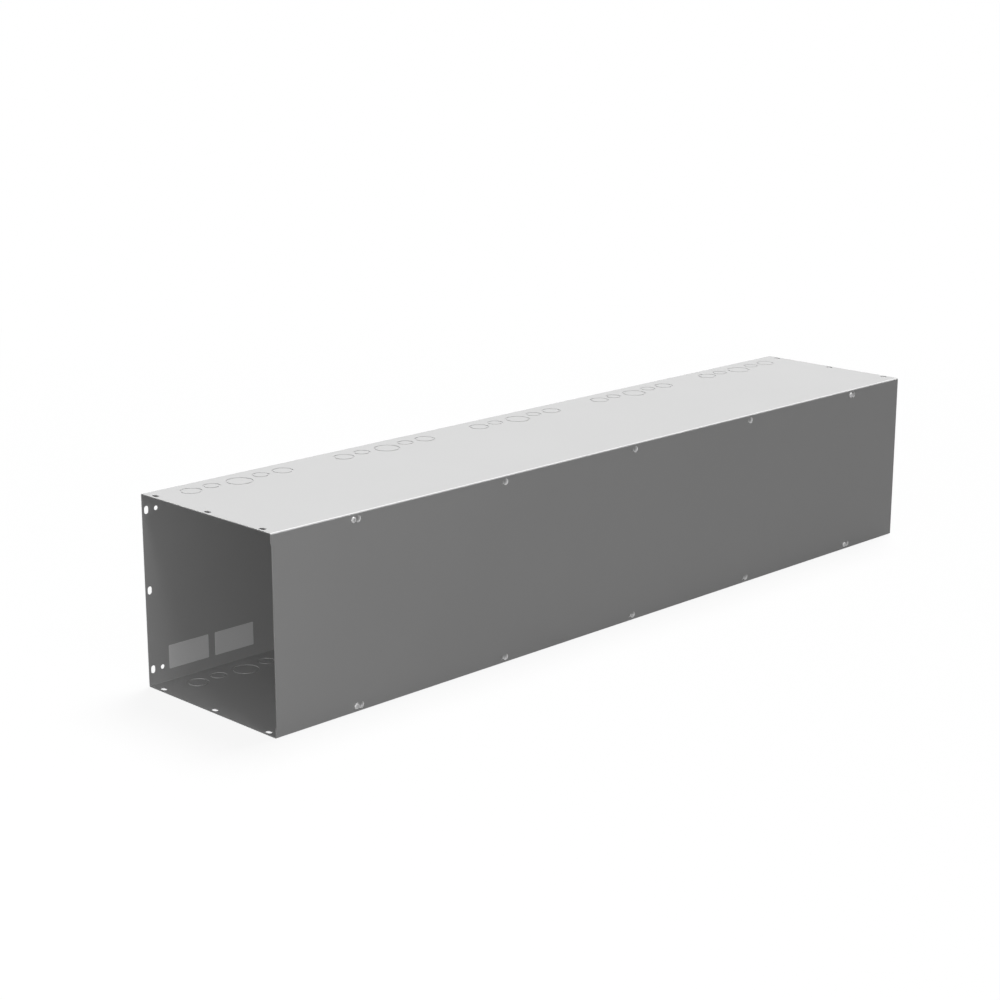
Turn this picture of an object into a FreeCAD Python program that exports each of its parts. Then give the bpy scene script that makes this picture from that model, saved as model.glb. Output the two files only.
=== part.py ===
"""A screw cover wireway: a folded sheet trough with knockouts, closed by a flat cover on four screws.

One sheet is folded into the back, the top, the bottom and two narrow front lips. A flat cover lies on the
lips, and screws hold it through keyholes. X runs along the trough, the cover faces -Y, Z is up, and
the origin is the middle of the underside. All sizes are in millimetres.
"""
import FreeCAD, Part
import math
import os

V = FreeCAD.Vector

# Trough, 12 in square inside and 5 ft long, folded from 18 gauge sheet
LENGTH = 1524.0
INNER_DEPTH = 304.8
INNER_HEIGHT = 304.8
SHEET = 1.2
FOLD_INNER_RADIUS = 0.8
LIP_WIDTH = 15.9

# Knockouts of three trade sizes, in groups along the top and the bottom, lined up along their back edges
GROUP_PITCH = 304.8
LARGE_KNOCKOUT = 43.7
SMALL_KNOCKOUT = 28.2
MEDIUM_KNOCKOUT = 34.5
SMALL_KNOCKOUT_OFFSET = 47.6
MEDIUM_KNOCKOUT_OFFSET = 88.9
KNOCKOUT_FROM_BACK = 22.0
KNOCKOUT_GROOVE = 2.2
KNOCKOUT_GROOVE_DEPTH = 0.8
KNOCKOUT_FLATNESS = 0.45

# Slots round both ends for joining fittings, and round holes for hanging the trough on a wall
END_SLOT_LENGTH = 12.7
END_SLOT_WIDTH = 7.9
END_SLOT_SPACING = 127.0
END_SLOT_FROM_END = 7.7
WALL_HOLE = 7.1
WALL_HOLE_FROM_END = 25.4

# Cover
COVER_SHEET = 1.2
COVER_EDGE_INSET = 1.6
COVER_END_INSET = 0.8
SCREW_ROW_FROM_EDGE = 10.0
KEYHOLE_PITCH = 304.8
KEYHOLE_TRAVEL = 9.5
KEYHOLE_SLOT_CLEARANCE = 0.6
KEYHOLE_ENTRY_CLEARANCE = 1.2

# Cover screw
SCREW_DIAMETER = 4.8
SCREW_LENGTH = 12.7
SCREW_THREAD_CLEARANCE = 0.1
HEAD_DIAMETER = 9.5
HEAD_HEIGHT = 3.2

DEPTH = INNER_DEPTH + 2 * SHEET
HEIGHT = INNER_HEIGHT + 2 * SHEET
FOLD_OUTER_RADIUS = FOLD_INNER_RADIUS + SHEET
SCREW_ROWS = (SCREW_ROW_FROM_EDGE, HEIGHT - SCREW_ROW_FROM_EDGE)
COVER_FRONT = -DEPTH / 2 - COVER_SHEET


def stations(pitch):
    """The places along X of as many marks as fit at this pitch, spread evenly about the middle."""
    count = int(round(LENGTH / pitch, 6))
    return [(number - (count - 1) / 2) * pitch for number in range(count)]


def ends(from_end):
    """The two places along X at this distance from the trough's ends."""
    return [from_end - LENGTH / 2, LENGTH / 2 - from_end]


def rounded_bar(length, depth, height, radius, base):
    """A bar along X, rounded along its four long edges, with its underside at this height."""
    bar = Part.makeBox(length, depth, height, V(-length / 2, -depth / 2, base))
    long_edges = [edge for edge in bar.Edges if abs(edge.tangentAt(edge.FirstParameter).x) > 0.9]
    return bar.makeFillet(radius, long_edges)


def slot_cutter(length, width, depth):
    """A slot's shape, round at both ends along X and centred on the origin, standing along Z."""
    radius = width / 2
    half = length / 2 - radius
    outline = Part.Wire([
        Part.makeLine(V(-half, -radius, 0), V(half, -radius, 0)),
        Part.Arc(V(half, -radius, 0), V(half + radius, 0, 0), V(half, radius, 0)).toShape(),
        Part.makeLine(V(half, radius, 0), V(-half, radius, 0)),
        Part.Arc(V(-half, radius, 0), V(-half - radius, 0, 0), V(-half, -radius, 0)).toShape(),
    ])
    return Part.Face(outline).extrude(V(0, 0, depth))


def knockout_prism(radius, sides, foot):
    """A many-sided prism standing on the foot, its corners on the circle of this radius."""
    turns = [2 * math.pi * corner / sides for corner in range(sides + 1)]
    outline = Part.makePolygon([foot + V(radius * math.cos(turn), radius * math.sin(turn), 0) for turn in turns])
    return Part.Face(outline).extrude(V(0, 0, KNOCKOUT_GROOVE_DEPTH + SHEET))


def knockout_cutter(diameter, face):
    """The ring pressed into a sheet from this face down, which leaves a thin web round the disc.

    The ring has as many flat sides as keep it within the flatness of its circle, so the mesh stays light.
    """
    radius = diameter / 2
    sides = round(math.pi / math.acos(1 - KNOCKOUT_FLATNESS / radius))
    foot = V(0, 0, face - KNOCKOUT_GROOVE_DEPTH)
    disc = knockout_prism(radius - KNOCKOUT_GROOVE, sides, foot)
    return knockout_prism(radius, sides, foot).cut(disc)


def knockout_group():
    """Each knockout of a group: its offset along X and its diameter."""
    return [
        (-MEDIUM_KNOCKOUT_OFFSET, MEDIUM_KNOCKOUT),
        (-SMALL_KNOCKOUT_OFFSET, SMALL_KNOCKOUT),
        (0.0, LARGE_KNOCKOUT),
        (SMALL_KNOCKOUT_OFFSET, SMALL_KNOCKOUT),
        (MEDIUM_KNOCKOUT_OFFSET, MEDIUM_KNOCKOUT),
    ]


def knockout_cutters():
    """The knockouts of all groups, in the upper faces of the bottom and of the top."""
    cutters = []
    for middle in stations(GROUP_PITCH):
        for offset, diameter in knockout_group():
            for face in (SHEET, HEIGHT):
                cutter = knockout_cutter(diameter, face)
                cutter.translate(V(middle + offset, DEPTH / 2 - KNOCKOUT_FROM_BACK - diameter / 2, 0))
                cutters.append(cutter)
    return cutters


def end_slot_cutters():
    """Three slots in the back, the top and the bottom at each end, long across the trough."""
    cutters = []
    for x in ends(END_SLOT_FROM_END):
        for across in (-END_SLOT_SPACING, 0.0, END_SLOT_SPACING):
            level = slot_cutter(END_SLOT_LENGTH, END_SLOT_WIDTH, HEIGHT + 2 * SHEET)
            level.rotate(V(0, 0, 0), V(0, 0, 1), 90)
            level.translate(V(x, across, -SHEET))
            upright = slot_cutter(END_SLOT_LENGTH, END_SLOT_WIDTH, 3 * SHEET)
            upright.rotate(V(0, 0, 0), V(0, 0, 1), 90)
            upright.rotate(V(0, 0, 0), V(1, 0, 0), -90)
            upright.translate(V(x, DEPTH / 2 - 2 * SHEET, HEIGHT / 2 + across))
            cutters += [level, upright]
    return cutters


def wall_hole_cutters():
    """A round hole in each corner of the back, level with the outer slots."""
    cutters = []
    for x in ends(WALL_HOLE_FROM_END):
        for across in (-END_SLOT_SPACING, END_SLOT_SPACING):
            foot = V(x, DEPTH / 2 - 2 * SHEET, HEIGHT / 2 + across)
            cutters.append(Part.makeCylinder(WALL_HOLE / 2, 3 * SHEET, foot, V(0, 1, 0)))
    return cutters


def screw_places():
    """The four corner places of the screws, along X and Z."""
    columns = stations(KEYHOLE_PITCH)
    return [(x, z) for x in (columns[0], columns[-1]) for z in SCREW_ROWS]


def lip_hole_cutters():
    """The tapped holes in the two lips, one for each screw."""
    radius = (SCREW_DIAMETER + SCREW_THREAD_CLEARANCE) / 2
    cutters = []
    for x, z in screw_places():
        foot = V(x, -DEPTH / 2 - SHEET, z)
        cutters.append(Part.makeCylinder(radius, 3 * SHEET, foot, V(0, 1, 0)))
    return cutters


def trough():
    """The folded sheet, hollowed to its thickness, open between the lips and pierced."""
    outside = rounded_bar(LENGTH, DEPTH, HEIGHT, FOLD_OUTER_RADIUS, 0)
    inside = rounded_bar(LENGTH + 2 * SHEET, INNER_DEPTH, INNER_HEIGHT, FOLD_INNER_RADIUS, SHEET)
    mouth = Part.makeBox(LENGTH + 2 * SHEET, 3 * SHEET, HEIGHT - 2 * LIP_WIDTH,
                         V(-LENGTH / 2 - SHEET, -DEPTH / 2 - SHEET, LIP_WIDTH))
    folded = outside.cut([inside, mouth])
    return folded.cut(knockout_cutters() + end_slot_cutters() + wall_hole_cutters() + lip_hole_cutters())


def keyhole_cutter():
    """A keyhole through the cover: its narrow end at the origin, its round entry along +X."""
    through = 3 * COVER_SHEET
    width = SCREW_DIAMETER + KEYHOLE_SLOT_CLEARANCE
    neck = slot_cutter(KEYHOLE_TRAVEL + width, width, through)
    neck.translate(V(KEYHOLE_TRAVEL / 2, 0, 0))
    entry = Part.makeCylinder((HEAD_DIAMETER + KEYHOLE_ENTRY_CLEARANCE) / 2, through, V(KEYHOLE_TRAVEL, 0, 0))
    keyhole = neck.fuse(entry).removeSplitter()
    keyhole.rotate(V(0, 0, 0), V(1, 0, 0), -90)
    return keyhole


def cover():
    """The flat cover on the front of the lips, with a keyhole at every screw place."""
    sheet = Part.makeBox(LENGTH - 2 * COVER_END_INSET, COVER_SHEET, HEIGHT - 2 * COVER_EDGE_INSET,
                         V(COVER_END_INSET - LENGTH / 2, COVER_FRONT, COVER_EDGE_INSET))
    keyholes = []
    for x in stations(KEYHOLE_PITCH):
        for z in SCREW_ROWS:
            keyhole = keyhole_cutter()
            keyhole.translate(V(x, COVER_FRONT - COVER_SHEET, z))
            keyholes.append(keyhole)
    return sheet.cut(keyholes)


def screw():
    """A screw with a round head, its head's seat at the origin and its head towards -Y."""
    shank = Part.makeCylinder(SCREW_DIAMETER / 2, SCREW_LENGTH, V(0, 0, 0), V(0, 1, 0))
    head = Part.makeCylinder(HEAD_DIAMETER / 2, HEAD_HEIGHT, V(0, 0, 0), V(0, -1, 0))
    return head.fuse(shank)


def cover_screws():
    """The four screws that hold the cover, in the narrow ends of the corner keyholes."""
    screws = []
    for x, z in screw_places():
        placed = screw()
        placed.translate(V(x, COVER_FRONT, z))
        screws.append(placed)
    return screws


os.makedirs("parts", exist_ok=True)
nodes = {"trough_body": trough(), "screw_cover": cover()}
for number, placed_screw in enumerate(cover_screws(), start=1):
    nodes[f"cover_screw_{number}"] = placed_screw
for name, shape in nodes.items():
    shape.exportStep(f"parts/{name}.step")
    print(name, shape.isValid(), len(shape.Solids), round(shape.Volume), shape.BoundBox)
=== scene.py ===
"""The look of a screw cover wireway, in metres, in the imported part's own frame.

X runs along the wireway, the cover faces -Y and Z is up.
"""
import math

import bpy
import numpy as np
from mathutils import Matrix, Vector


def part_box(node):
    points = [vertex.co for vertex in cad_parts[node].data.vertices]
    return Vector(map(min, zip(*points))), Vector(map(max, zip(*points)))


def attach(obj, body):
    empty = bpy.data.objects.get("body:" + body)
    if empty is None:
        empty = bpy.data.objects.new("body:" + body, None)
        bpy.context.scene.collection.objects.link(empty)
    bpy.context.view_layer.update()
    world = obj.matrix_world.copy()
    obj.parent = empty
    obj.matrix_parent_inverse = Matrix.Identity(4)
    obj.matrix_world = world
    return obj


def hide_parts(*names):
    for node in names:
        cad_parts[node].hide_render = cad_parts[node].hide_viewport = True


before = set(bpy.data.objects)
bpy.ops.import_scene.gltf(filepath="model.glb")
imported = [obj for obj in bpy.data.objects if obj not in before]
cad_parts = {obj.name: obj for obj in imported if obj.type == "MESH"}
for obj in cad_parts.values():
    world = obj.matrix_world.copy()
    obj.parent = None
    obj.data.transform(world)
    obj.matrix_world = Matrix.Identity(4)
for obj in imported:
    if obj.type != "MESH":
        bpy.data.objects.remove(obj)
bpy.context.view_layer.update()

MM = 0.001
FULL_TURN = 2 * math.pi

# Sheets, and how near a face a point counts as on it, in millimetres
SHEET = 1.2
FOLD_RADIUS = 2.0
SKIN = 0.03

# Keyholes, from the screws' places, in millimetres
KEYHOLE_PITCH = 304.8
KEYHOLE_ROW = 10.0
KEYHOLE_REACH = (-4.0, 18.0)
KEYHOLE_HALF_HEIGHT = 6.0
ENTRY_SHIFT = 9.5
ENTRY_RADIUS = 5.35

# Painted highlight crescents on the lips behind the two rows of entries: shift along, shift outwards and
# radius, in millimetres
LOWER_CRESCENT = (-0.5, -5.0, 10.5)
UPPER_CRESCENT = (-1.6, 1.5, 7.8)

# The strip of knockout rings in the bottom, from the back and from the ends, in millimetres
RING_STRIP = (18.0, 72.0)
RING_STRIP_FROM_END = 30.0
RING_DEPTH = 0.8

# Cover screws, pan heads with a cross recess, in millimetres
THREAD_MAJOR = 2.4
THREAD_MINOR = 1.9
THREAD_PITCH = 1.06
THREAD_STEPS = 8
NECK = 1.0
TIP_CHAMFER = 0.8
HEAD_RADIUS = 4.75
HEAD_HEIGHT = 3.2
HEAD_RIM = 1.1
HEAD_EDGE = 0.25
DOME_STEPS = 9
RECESS_REACH = 2.5
RECESS_END_SLOPE = 0.1
RECESS_RADII = (2.0, 1.5)
RECESS_DEPTH = 1.8
RECESS_TAPER = 0.55
PIT_RADIUS = 0.4
ARM_TOP = 0.65
ARM_FLOOR = 0.52
ARM_COLUMNS = 2
WEB_COLUMNS = 8
NARROWEST_WEB = math.radians(43)
ARM_FLOOR_SHARE = 0.99
SCREW_COUNT = 4

# Blank stickers on the inside of the back wall, in millimetres
STICKER_WIDTH = 76.2
STICKER_HEIGHT = 38.1
STICKER_THICKNESS = 0.18
STICKER_CORNER = 1.6
STICKER_SOFT_EDGE = 0.1
STICKER_FROM_END = (38.1, 127.0)
STICKER_FROM_BASE = 20.0
CORNER_STEPS = 7

# Camera
CAMERA_PLACE = (-2.52680, -2.36796, 1.11140)
CAMERA_AZIMUTH = math.radians(-45.071)
CAMERA_ELEVATION = math.radians(15.026)
CAMERA_ROLL = math.radians(0.063)
CAMERA_LENS = 75.217
SENSOR_WIDTH = 36.0

# Light: a soft key from above, a faint frontal gleam, a low fill from the left and an even sky
KEY_FROM = (0.35, 0.1, 0.93)
KEY_SPREAD = math.radians(24)
KEY_STRENGTH = 3.7
GLEAM_FROM = (-0.1, -0.75, 0.65)
GLEAM_SPREAD = math.radians(12)
GLEAM_STRENGTH = 0.28
FILL_PLACE = (-2.86, -0.84, 0.5)
FILL_AIM = (0.0, 0.0, 0.2)
FILL_SIZE = 1.2
FILL_POWER = 22.0
AMBIENT = 0.21

# Floor, in metres, with its drop below the object in millimetres
FLOOR_HALF = 30.0
FLOOR_DROP = 0.2
FLOOR_BOUNCE = 0.12
FLOOR_TONE = 0.7
SHADOW_SHARE = 0.10
SHADOW_REACH = 3.0

# Powder coat: tones as shares of white, each noise as its scale and detail, heights in millimetres
PAINT_TONE = 0.47
PAINT_RANGE = (0.96, 1.04)
PAINT_GLOSS = 0.2
PAINT_ROUGHNESS = 0.42
CLOUD = (5.0, 3.0)
CLOUD_SHARE = 0.75
CLOUD_ROUGHNESS = 0.10
SPECK = (900.0, 1.0)
SPECK_SHARE = 0.25
SPECK_ROUGHNESS = 0.08
PEEL = (420.0, 2.0)
PEEL_HEIGHT = 0.02
COVER_SHIFT = (3.0, 1.0, 2.0)
# Painted highlight: a lighter grey along the four long folds
FOLD_HIGHLIGHT_TONE = 0.84
FOLD_GAIN = 2.6
# Painted shade: a darker grey on the sheared ends of the sheets
CUT_END_SHADE = 0.33
# Painted highlight: a pale grey on the knockout ring walls, the keyhole walls and the lip crescents
EDGE_HIGHLIGHT_TONE = 0.92
RING_SHINE = 0.7
# Metallic share in the painted highlight crescents
CRESCENT_SHINE = 0.3

# Zinc plate, in the same way
ZINC_TONE = 0.58
ZINC_RANGE = (0.9, 1.08)
ZINC_SHINE = 0.6
ZINC_ROUGHNESS = 0.32
STAIN = (500.0, 3.0)
GRAIN = (2500.0, 2.0)
GRAIN_ROUGHNESS = 0.12
GRAIN_HEIGHT = 0.02
GRAIN_STRENGTH = 0.3

# Sticker stock, in the same way
STICKER_TONE = 0.88
STICKER_RANGE = (0.95, 1.03)
STICKER_ROUGHNESS = 0.45
FIBRE = (700.0, 3.0)
FIBRE_ROUGHNESS = 0.1
FIBRE_HEIGHT = 0.03
FIBRE_STRENGTH = 0.2


class Tone:
    """One output of a node tree. Arithmetic on it adds Math nodes, and add() makes any other node."""

    def __init__(self, tree, socket=None):
        self.tree = tree
        self.socket = socket

    def add(self, kind, settings=None, inputs=None, output=0):
        """Adds a node of this kind, sets it first, then gives its sockets their values or links."""
        node = self.tree.nodes.new("ShaderNode" + kind)
        for name, value in (settings or {}).items():
            setattr(node, name, value)
        for name, value in (inputs or {}).items():
            if isinstance(value, Tone):
                self.tree.links.new(value.socket, node.inputs[name])
            else:
                node.inputs[name].default_value = value
        return Tone(self.tree, node.outputs[output] if len(node.outputs) else None)

    def math(self, operation, first, second):
        return self.add("Math", {"operation": operation}, {0: first, 1: second})

    def __add__(self, other):
        return self.math("ADD", self, other)

    def __radd__(self, other):
        return self.math("ADD", other, self)

    def __sub__(self, other):
        return self.math("SUBTRACT", self, other)

    def __rsub__(self, other):
        return self.math("SUBTRACT", other, self)

    def __mul__(self, other):
        return self.math("MULTIPLY", self, other)

    def __rmul__(self, other):
        return self.math("MULTIPLY", other, self)

    def __truediv__(self, other):
        return self.math("DIVIDE", self, other)


def corners(node):
    """A node's lowest and highest corners, in millimetres."""
    return [np.array(corner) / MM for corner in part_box(node)]


def grey(level):
    return (level, level, level, 1)


def new_finish(name):
    """An empty material, and a Tone to start its nodes from."""
    finish = bpy.data.materials.new(name)
    finish.use_nodes = True
    finish.node_tree.nodes.clear()
    return finish, Tone(finish.node_tree)


def close_finish(tone, inputs):
    """The surface shader and the output."""
    surface = tone.add("BsdfPrincipled", None, inputs)
    tone.add("OutputMaterial", None, {"Surface": surface})


def place_of(tone, shift=(0, 0, 0)):
    """Object coordinates in metres, moved."""
    here = tone.add("TexCoord", output="Object")
    return tone.add("Mapping", None, {"Vector": here, "Location": shift})


def coordinates(tone):
    """The three Object coordinates, in millimetres."""
    here = tone.add("TexCoord", output="Object")
    return [tone.add("SeparateXYZ", None, {"Vector": here}, axis) / MM for axis in "XYZ"]


def noise(tone, place, scale_and_detail):
    scale, detail = scale_and_detail
    return tone.add("TexNoise", None, {"Vector": place, "Scale": scale, "Detail": detail})


def relief(tone, pattern, height, strength=1.0):
    """A normal that follows a pattern of this height, in millimetres."""
    return tone.add("Bump", None, {"Strength": strength, "Distance": height * MM, "Height": pattern})


def mix(tone, factor, first, second):
    """A colour between two colours."""
    return tone.add("Mix", {"data_type": "RGBA"}, {0: factor, 6: first, 7: second}, 2)


def shades(tone, factor, middle, limits):
    """A grey between two shades, each given as a multiple of the middle one."""
    darkest, lightest = [grey(middle * limit) for limit in limits]
    return mix(tone, factor, darkest, lightest)


def between(tone, value, low, high):
    """1 where a value lies between two limits, 0 elsewhere."""
    return tone.math("GREATER_THAN", value, low) * tone.math("LESS_THAN", value, high)


def from_middle(tone, value, low, high):
    """How far a value lies from the middle of two limits, on either side."""
    return tone.math("ABSOLUTE", value - (low + high) / 2, 0.0)


# The lighter grey over the folds is a painted highlight, and this gives how much of it shows
def folds(tone, y, z):
    """How far a point lies round one of the four long folds: 0 on the flats, most a third of the way round.

    On a fold the two distances past the flats, over its radius, are the sine and the cosine of the turn
    from the top or the bottom, and the sine times the cosine's square is largest near 35 degrees.
    """
    low, high = corners("trough_body")
    past_flat = []
    for value, axis in ((y, 1), (z, 2)):
        flat = (high[axis] - low[axis]) / 2 - FOLD_RADIUS
        past = from_middle(tone, value, low[axis], high[axis]) - flat
        past_flat.append(tone.math("MAXIMUM", past, 0.0) / FOLD_RADIUS)
    sine, cosine = past_flat
    return tone.math("MINIMUM", FOLD_GAIN * sine * cosine * cosine, 1.0)


def knockout_walls(tone, x, y, z):
    """1 on the walls of the knockout rings pressed into the bottom, 0 elsewhere."""
    low, high = corners("trough_body")
    face = low[2] + SHEET
    strip = between(tone, y, high[1] - RING_STRIP[1], high[1] - RING_STRIP[0])
    along = between(tone, x, low[0] + RING_STRIP_FROM_END, high[0] - RING_STRIP_FROM_END)
    return strip * along * between(tone, z, face - RING_DEPTH + SKIN, face - SKIN)


def from_screws(tone, x, z):
    """How far a point lies from the nearest screw's place along the trough, and outwards from its row."""
    low, high = corners("trough_body")
    half = KEYHOLE_PITCH / 2
    along = tone.add("Math", {"operation": "WRAP"}, {0: x, 1: half, 2: -half})
    row = (high[2] - low[2]) / 2 - KEYHOLE_ROW
    return along, from_middle(tone, z, low[2], high[2]) - row


def lip_crescent_highlight(tone, x, y, z):
    """How strongly a painted highlight lightens the lip behind each keyhole's entry: 0 to 1.

    It grows with the distance from a place up and left of the entry's middle, so it shows as a crescent.
    """
    low, high = corners("trough_body")
    along, outwards = from_screws(tone, x, z)
    upper = tone.math("GREATER_THAN", z, (low[2] + high[2]) / 2)
    rows = zip(LOWER_CRESCENT, UPPER_CRESCENT)
    shift, rise, radius = [below + (above - below) * upper for below, above in rows]
    aside = along - ENTRY_SHIFT - shift
    away = outwards - rise
    whole = tone.math("MAXIMUM", 1 - (aside * aside + away * away) / (radius * radius), 0.0)
    in_reach = tone.math("GREATER_THAN", whole, 0.0)
    past_neck = tone.math("GREATER_THAN", along, ENTRY_SHIFT - ENTRY_RADIUS)
    on_front = tone.math("LESS_THAN", y, low[1] + SKIN)
    return in_reach * past_neck * on_front * (1 - whole * whole)


def cut_ends(tone, x, node):
    """1 on the two sheared ends of a sheet, 0 elsewhere."""
    low, high = corners(node)
    half = (high[0] - low[0]) / 2
    return tone.math("GREATER_THAN", from_middle(tone, x, low[0], high[0]), half - SKIN)


def keyhole_walls(tone, x, y, z):
    """1 on the punched walls of the keyholes, 0 elsewhere."""
    along, outwards = from_screws(tone, x, z)
    in_length = between(tone, along, *KEYHOLE_REACH)
    in_height = between(tone, outwards, -KEYHOLE_HALF_HEIGHT, KEYHOLE_HALF_HEIGHT)
    behind_front = tone.math("GREATER_THAN", y, corners("screw_cover")[0][1] + SKIN)
    return in_length * in_height * behind_front


def powder_coat(name, node, shift):
    """Satin grey powder coat: faint cloudiness, orange peel and a fine grain in the gloss.

    Painted highlights lighten folds, pressed and punched walls and lip crescents; painted shade darkens
    sheared ends.
    """
    finish, tone = new_finish(name)
    place = place_of(tone, shift)
    cloud = noise(tone, place, CLOUD)
    speck = noise(tone, place, SPECK)
    peel = noise(tone, place, PEEL)
    paint = shades(tone, CLOUD_SHARE * cloud + SPECK_SHARE * speck, PAINT_TONE, PAINT_RANGE)
    x, y, z = coordinates(tone)
    # Painted shade on the sheared ends
    paint = mix(tone, cut_ends(tone, x, node), paint, grey(CUT_END_SHADE))
    if node == "trough_body":
        walls = knockout_walls(tone, x, y, z)
        # Painted highlight: a pale crescent on each lip behind a keyhole entry
        crescent_share = lip_crescent_highlight(tone, x, y, z)
        # Painted highlight along the folds
        paint = mix(tone, folds(tone, y, z), paint, grey(FOLD_HIGHLIGHT_TONE))
        # Painted highlight on the knockout ring walls and on the lip crescents
        edge_highlight = walls + crescent_share
        shine = RING_SHINE * walls + CRESCENT_SHINE * crescent_share
    else:
        # Painted highlight on the punched keyhole walls
        edge_highlight = keyhole_walls(tone, x, y, z)
        shine = 0.0
    close_finish(tone, {
        "Base Color": mix(tone, edge_highlight, paint, grey(EDGE_HIGHLIGHT_TONE)),
        "Metallic": shine,
        "Roughness": PAINT_ROUGHNESS + CLOUD_ROUGHNESS * cloud + SPECK_ROUGHNESS * speck,
        "Specular IOR Level": PAINT_GLOSS,
        "Normal": relief(tone, peel, PEEL_HEIGHT),
    })
    return finish


def zinc_plate(name):
    """Dull zinc plate with a fine, uneven gloss."""
    finish, tone = new_finish(name)
    place = place_of(tone)
    grain = noise(tone, place, GRAIN)
    stain = noise(tone, place, STAIN)
    close_finish(tone, {
        "Base Color": shades(tone, stain, ZINC_TONE, ZINC_RANGE),
        "Metallic": ZINC_SHINE,
        "Roughness": ZINC_ROUGHNESS + GRAIN_ROUGHNESS * grain,
        "Normal": relief(tone, grain, GRAIN_HEIGHT, GRAIN_STRENGTH),
    })
    return finish


def sticker_stock(name):
    """White vinyl with a faint fibre."""
    finish, tone = new_finish(name)
    fibre = noise(tone, place_of(tone), FIBRE)
    close_finish(tone, {
        "Base Color": shades(tone, fibre, STICKER_TONE, STICKER_RANGE),
        "Roughness": STICKER_ROUGHNESS + FIBRE_ROUGHNESS * fibre,
        "Normal": relief(tone, fibre, FIBRE_HEIGHT, FIBRE_STRENGTH),
    })
    return finish


def set_finish(node, finish):
    """Gives a CAD node this one finish."""
    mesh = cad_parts[node].data
    mesh.materials.clear()
    mesh.materials.append(finish)


def new_piece(name, points, faces, finish):
    """An object at the origin from points in metres and faces as rows of point numbers."""
    mesh = bpy.data.meshes.new(name)
    mesh.from_pydata(points, [], faces)
    mesh.materials.append(finish)
    piece = bpy.data.objects.new(name, mesh)
    bpy.context.scene.collection.objects.link(piece)
    return piece


def closed_rings(name, first, rings, last, finish):
    """A closed surface from rings of points, in millimetres.

    It is a fan from the first pole, bands from ring to ring and a fan to the last pole. The rings run the
    same way round, so a band's faces join each point to the next one and to the next ring's two.
    """
    count, around = rings.shape[:2]
    points = np.vstack([[first], rings.reshape(-1, 3), [last]]) * MM
    index = 1 + np.arange(count * around).reshape(count, around)
    beside = np.roll(index, -1, axis=1)
    bands = np.stack([index[:-1], beside[:-1], beside[1:], index[1:]], axis=-1).reshape(-1, 4)
    start = np.stack([np.zeros(around, int), beside[0], index[0]], axis=-1)
    end = np.stack([np.full(around, len(points) - 1), index[-1], beside[-1]], axis=-1)
    return new_piece(name, points.tolist(), bands.tolist() + start.tolist() + end.tolist(), finish)


def screw_columns(radius):
    """The angle of each point on each ring, and which columns lie on a recess arm's floor.

    Each quarter turn has half an arm at its start and half at its end. The edge of an arm is where the sine
    of the angle times the radius is the arm's half width, taken at the recess's reach on every wider ring.
    """
    inside = np.minimum(radius, RECESS_REACH)[:, None]
    most = math.sin(NARROWEST_WEB)
    floor_edge = np.arcsin(np.minimum(ARM_FLOOR / inside, most * ARM_FLOOR_SHARE))
    top_edge = np.arcsin(np.minimum(ARM_TOP / inside, most))
    arm = np.linspace(0, 1, ARM_COLUMNS + 1)
    web = np.linspace(0, 1, WEB_COLUMNS + 1)
    right = FULL_TURN / 4
    quarter = np.hstack([
        floor_edge * arm,
        top_edge + (right - 2 * top_edge) * web,
        right - floor_edge * arm[:0:-1],
    ])
    on_floor = np.repeat([True, False, True], [arm.size, web.size, arm.size - 1])
    angles = np.hstack([quarter + turn * right for turn in range(4)])
    return angles, np.tile(on_floor, 4)


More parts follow.
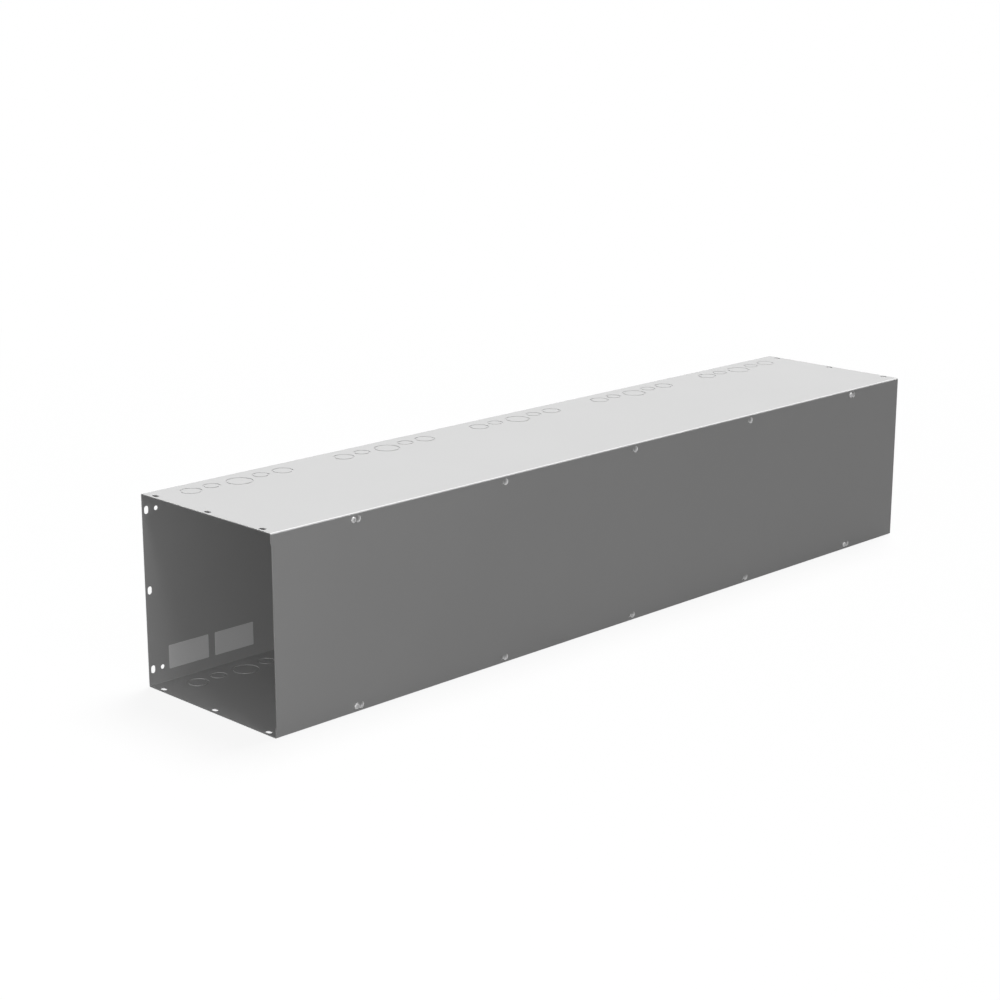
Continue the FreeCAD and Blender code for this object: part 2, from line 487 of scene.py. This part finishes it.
def cover_screw(name, node, finish):
    """A pan head screw with a V thread and a cross recess, turned about an axis along Y.

    A point lies at the profile's height and radius. On the shank the radius swings between the thread's two
    as the height over the pitch plus the share of a turn goes up. In the recess the arms lie below the dome,
    by a depth that shrinks outwards, and the webs between them meet the floor at the inner corners.
    """
    low, high = corners(node)
    axis = (low + high) / 2
    seat = low[1] + HEAD_HEIGHT
    length = high[1] - seat
    rise = HEAD_HEIGHT - HEAD_RIM
    shank = np.arange(TIP_CHAMFER - length, -NECK, THREAD_PITCH / THREAD_STEPS)
    swing = np.linspace(0, math.acos(RECESS_REACH / HEAD_RADIUS), DOME_STEPS)
    corner_top = ARM_TOP / math.sin(NARROWEST_WEB)
    corner_floor = ARM_FLOOR / math.sin(NARROWEST_WEB)
    recess = np.array([RECESS_REACH - RECESS_END_SLOPE, *RECESS_RADII, corner_top, corner_floor, PIT_RADIUS])
    dome = HEAD_RIM + rise * np.sqrt(1 - (recess / HEAD_RADIUS) ** 2)
    radius = np.r_[
        THREAD_MINOR - TIP_CHAMFER / 2,
        np.full(shank.size, THREAD_MINOR),
        THREAD_MAJOR, THREAD_MAJOR,
        HEAD_RADIUS - HEAD_EDGE, HEAD_RADIUS,
        HEAD_RADIUS * np.cos(swing),
        recess,
    ]
    height = np.r_[
        -length,
        shank,
        -NECK, 0,
        0, HEAD_EDGE,
        HEAD_RIM + rise * np.sin(swing),
        dome,
    ]
    angles, on_floor = screw_columns(radius)
    threaded = np.zeros(radius.size)
    threaded[1:1 + shank.size] = np.clip((shank - shank[0]) / THREAD_PITCH, 0, 1)
    share = (height[:, None] / THREAD_PITCH + angles / FULL_TURN) % 1
    ridge = (THREAD_MAJOR - THREAD_MINOR) * threaded
    swung = radius[:, None] + ridge[:, None] * np.abs(2 * share - 1)
    raised = np.repeat(height[:, None], angles.shape[1], axis=1)
    floor = HEAD_HEIGHT - RECESS_DEPTH * (1 - RECESS_TAPER * recess / RECESS_REACH)
    meet = np.clip((recess - corner_floor) / (corner_top - corner_floor), 0, 1)
    webs = floor + (dome - floor) * meet
    raised[-recess.size:] = np.where(on_floor, floor[:, None], webs[:, None])
    rings = np.stack([
        axis[0] + swung * np.cos(angles),
        seat - raised,
        axis[2] + swung * np.sin(angles),
    ], axis=-1)
    tip = (axis[0], seat + length, axis[2])
    pit = (axis[0], seat - HEAD_HEIGHT + RECESS_DEPTH, axis[2])
    piece = closed_rings(name, tip, rings, pit, finish)
    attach(piece, "root")
    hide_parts(node)


def sticker(name, left, finish):
    """A thin sheet with round corners on the inside of the back wall.

    Its outline is four quarter circles about the corners' centres, and its front edge is drawn in a little.
    """
    wall = corners("trough_body")[1][1] - SHEET
    middle = (left + STICKER_WIDTH / 2, STICKER_FROM_BASE + STICKER_HEIGHT / 2)
    quarters = np.arange(4)[:, None]
    angles = (quarters + np.linspace(0, 1, CORNER_STEPS)) * FULL_TURN / 4
    across = np.array([1, -1, -1, 1])[:, None] * (STICKER_WIDTH / 2 - STICKER_CORNER)
    up = np.array([1, 1, -1, -1])[:, None] * (STICKER_HEIGHT / 2 - STICKER_CORNER)
    inset = np.array([0, 0, STICKER_SOFT_EDGE])[:, None, None]
    depth = np.array([0, STICKER_THICKNESS - STICKER_SOFT_EDGE, STICKER_THICKNESS])[:, None, None]
    reach = STICKER_CORNER - inset
    rings = np.stack(np.broadcast_arrays(
        middle[0] + across + reach * np.cos(angles),
        wall - depth,
        middle[1] + up + reach * np.sin(angles),
    ), axis=-1).reshape(3, -1, 3)
    back = (middle[0], wall, middle[1])
    front = (middle[0], wall - STICKER_THICKNESS, middle[1])
    piece = closed_rings(name, back, rings, front, finish)
    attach(piece, "root")


def direct_view(tone):
    """1 for a ray from the camera, from a gloss or through glass, 0 for light that scatters."""
    camera = tone.add("LightPath", output="Is Camera Ray")
    glossy = tone.add("LightPath", output="Is Glossy Ray")
    clear = tone.add("LightPath", output="Is Transmission Ray")
    return tone.math("MAXIMUM", camera, tone.math("MAXIMUM", glossy, clear))


def lay_floor():
    """A plain pale floor that shows white away from the object and keeps its soft shadow."""
    finish, tone = new_finish("pale_floor")
    here = tone.add("TexCoord", output="Object")
    away = tone.add("VectorMath", {"operation": "LENGTH"}, {0: here}, "Value")
    near = tone.add("MapRange", {"interpolation_type": "SMOOTHSTEP"}, {
        "Value": away,
        "From Min": SHADOW_REACH / 2,
        "From Max": SHADOW_REACH,
        "To Min": 1.0,
        "To Max": 0.0,
    })
    white = tone.add("Emission", None, {"Color": grey(1.0), "Strength": 1.0})
    shadowed = tone.add("BsdfDiffuse", None, {"Color": grey(FLOOR_TONE)})
    bounce = tone.add("BsdfDiffuse", None, {"Color": grey(FLOOR_BOUNCE)})
    shown = tone.add("MixShader", None, {0: SHADOW_SHARE * near, 1: white, 2: shadowed})
    both = tone.add("MixShader", None, {0: direct_view(tone), 1: bounce, 2: shown})
    tone.add("OutputMaterial", None, {"Surface": both})
    reach = FLOOR_HALF
    drop = -FLOOR_DROP * MM
    outline = [(-reach, -reach, drop), (reach, -reach, drop), (reach, reach, drop), (-reach, reach, drop)]
    floor = new_piece("floor", outline, [(0, 1, 2, 3)], finish)


def light_world():
    """An even soft light, seen as white."""
    world = bpy.data.worlds.new("studio")
    bpy.context.scene.world = world
    world.use_nodes = True
    world.node_tree.nodes.clear()
    tone = Tone(world.node_tree)
    strength = AMBIENT + (1 - AMBIENT) * direct_view(tone)
    sky = tone.add("Background", None, {"Color": grey(1.0), "Strength": strength})
    tone.add("OutputWorld", None, {"Surface": sky})


def softbox(name, place, aim, size, power):
    """A square lamp turned to its aim."""
    lamp = bpy.data.lights.new(name, "AREA")
    lamp.size = size
    lamp.energy = power
    holder = bpy.data.objects.new(name, lamp)
    holder.location = place
    holder.rotation_euler = (Vector(aim) - Vector(place)).to_track_quat("-Z", "Y").to_euler()
    bpy.context.scene.collection.objects.link(holder)


def distant_light(name, source, spread, strength):
    """A soft lamp so far off that it lights the whole length alike."""
    lamp = bpy.data.lights.new(name, "SUN")
    lamp.angle = spread
    lamp.energy = strength
    holder = bpy.data.objects.new(name, lamp)
    holder.rotation_euler = Vector(source).to_track_quat("Z", "Y").to_euler()
    bpy.context.scene.collection.objects.link(holder)


def set_camera():
    """The photograph's view, from its place, direction and roll."""
    lens = bpy.data.cameras.new("camera")
    lens.lens = CAMERA_LENS
    lens.sensor_width = SENSOR_WIDTH
    camera = bpy.data.objects.new("camera", lens)
    level = math.cos(CAMERA_ELEVATION)
    back = Vector((
        math.sin(CAMERA_AZIMUTH) * level,
        -math.cos(CAMERA_AZIMUTH) * level,
        math.sin(CAMERA_ELEVATION),
    ))
    turn = (-back).to_track_quat("-Z", "Y").to_matrix().to_4x4()
    camera.matrix_world = Matrix.Translation(CAMERA_PLACE) @ turn @ Matrix.Rotation(CAMERA_ROLL, 4, "Z")
    bpy.context.scene.collection.objects.link(camera)
    bpy.context.scene.camera = camera


set_finish("trough_body", powder_coat("trough_paint", "trough_body", (0.0, 0.0, 0.0)))
set_finish("screw_cover", powder_coat("cover_paint", "screw_cover", COVER_SHIFT))

zinc = zinc_plate("bright_zinc")
for number in range(1, SCREW_COUNT + 1):
    cover_screw(f"screw_{number}", f"cover_screw_{number}", zinc)

stock = sticker_stock("sticker_stock")
near_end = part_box("trough_body")[0].x / MM
for number, from_end in enumerate(STICKER_FROM_END, start=1):
    sticker(f"blank_sticker_{number}", near_end + from_end, stock)

lay_floor()
light_world()
distant_light("key", KEY_FROM, KEY_SPREAD, KEY_STRENGTH)
distant_light("gleam", GLEAM_FROM, GLEAM_SPREAD, GLEAM_STRENGTH)
softbox("fill", FILL_PLACE, FILL_AIM, FILL_SIZE, FILL_POWER)
set_camera()
bpy.context.scene.view_settings.view_transform = "Standard"
